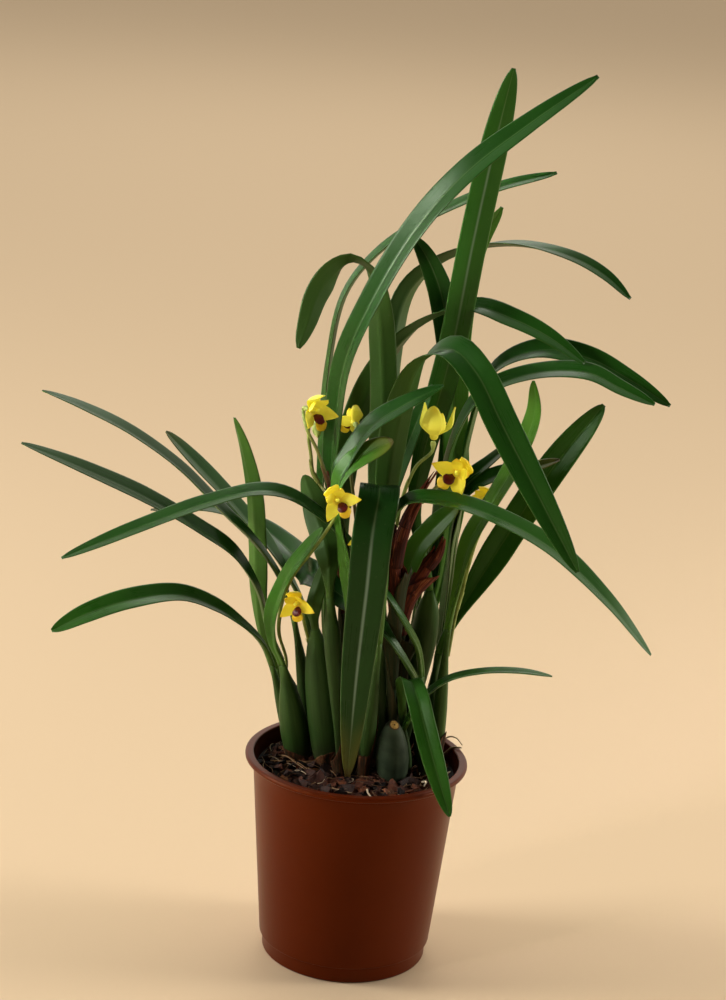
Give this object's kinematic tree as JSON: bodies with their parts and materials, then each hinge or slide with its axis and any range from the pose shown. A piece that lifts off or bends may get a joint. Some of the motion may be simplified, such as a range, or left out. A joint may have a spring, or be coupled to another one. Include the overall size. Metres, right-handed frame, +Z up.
{
  "type": "potted orchid",
  "caption": "Potted orchid with long arching strap leaves on clustered pseudobulbs, small yellow flowers with maroon lips, and bark mix in a round tapered plastic pot.",
  "frame": {"origin": "centre of the pot's underside, on the surface that the pot stands on", "axes": "+Z up along the pot's axis, +Y from the viewer's side to the back, +X to the viewer's right"},
  "size_m": [0.3337, 0.1477, 0.484],
  "materials": {
    "pot": "semi-gloss moulded terracotta-brown plastic",
    "bark": "damp orchid bark, matt",
    "leaf": "living leaf, soft gloss, paler midrib and underside",
    "old_pseudobulb": "matt grey-green living stem",
    "sheath": "dry papery red-brown sheath",
    "petal": "waxy lemon to golden yellow petal",
    "lip": "waxy dark maroon lip",
    "stalk": "pale green living stalk"
  },
  "bodies": {
    "root": {"pot": "pot", "potting_mix": "bark", "old_pseudobulb": "old_pseudobulb", "growth_low_left": "leaf", "growth_hook_left": "leaf", "growth_upright_left": "leaf", "growth_far_left": "leaf", "growth_high_left": "leaf", "growth_back_left": "leaf", "growth_tall_bulb": "leaf", "growth_broad_left": "leaf", "growth_low_back": "leaf", "growth_cross_left": "leaf", "growth_front_fold": "leaf", "growth_tallest": "leaf", "growth_long_right": "leaf", "growth_thin_high": "leaf", "growth_curl_back": "leaf", "growth_arch_far": "leaf", "growth_arch_low": "leaf", "growth_folded_high": "leaf", "growth_young_centre": "leaf", "growth_back_right": "leaf", "growth_mid_right": "leaf", "growth_wide_arch": "leaf", "growth_right_strap": "leaf", "growth_steep_right": "leaf", "growth_bright_right": "leaf", "growth_low_right": "leaf", "shoot_left": "sheath", "shoot_centre": "sheath", "shoot_leafy": "sheath", "flower_left_high": "petal", "flower_left_high_lip": "lip", "flower_left_high_stalk": "stalk", "flower_left_inner": "petal", "flower_left_inner_lip": "lip", "flower_left_inner_stalk": "stalk", "flower_right_high": "petal", "flower_right_high_lip": "lip", "flower_right_high_stalk": "stalk", "flower_right_low": "petal", "flower_right_low_lip": "lip", "flower_right_low_stalk": "stalk", "flower_centre": "petal", "flower_centre_lip": "lip", "flower_centre_stalk": "stalk", "flower_right_outer": "petal", "flower_right_outer_lip": "lip", "flower_right_outer_stalk": "stalk", "flower_hidden": "petal", "flower_hidden_lip": "lip", "flower_hidden_stalk": "stalk", "flower_low_left": "petal", "flower_low_left_lip": "lip", "flower_low_left_stalk": "stalk", "bud": "stalk"}
  },
  "joints": []
}
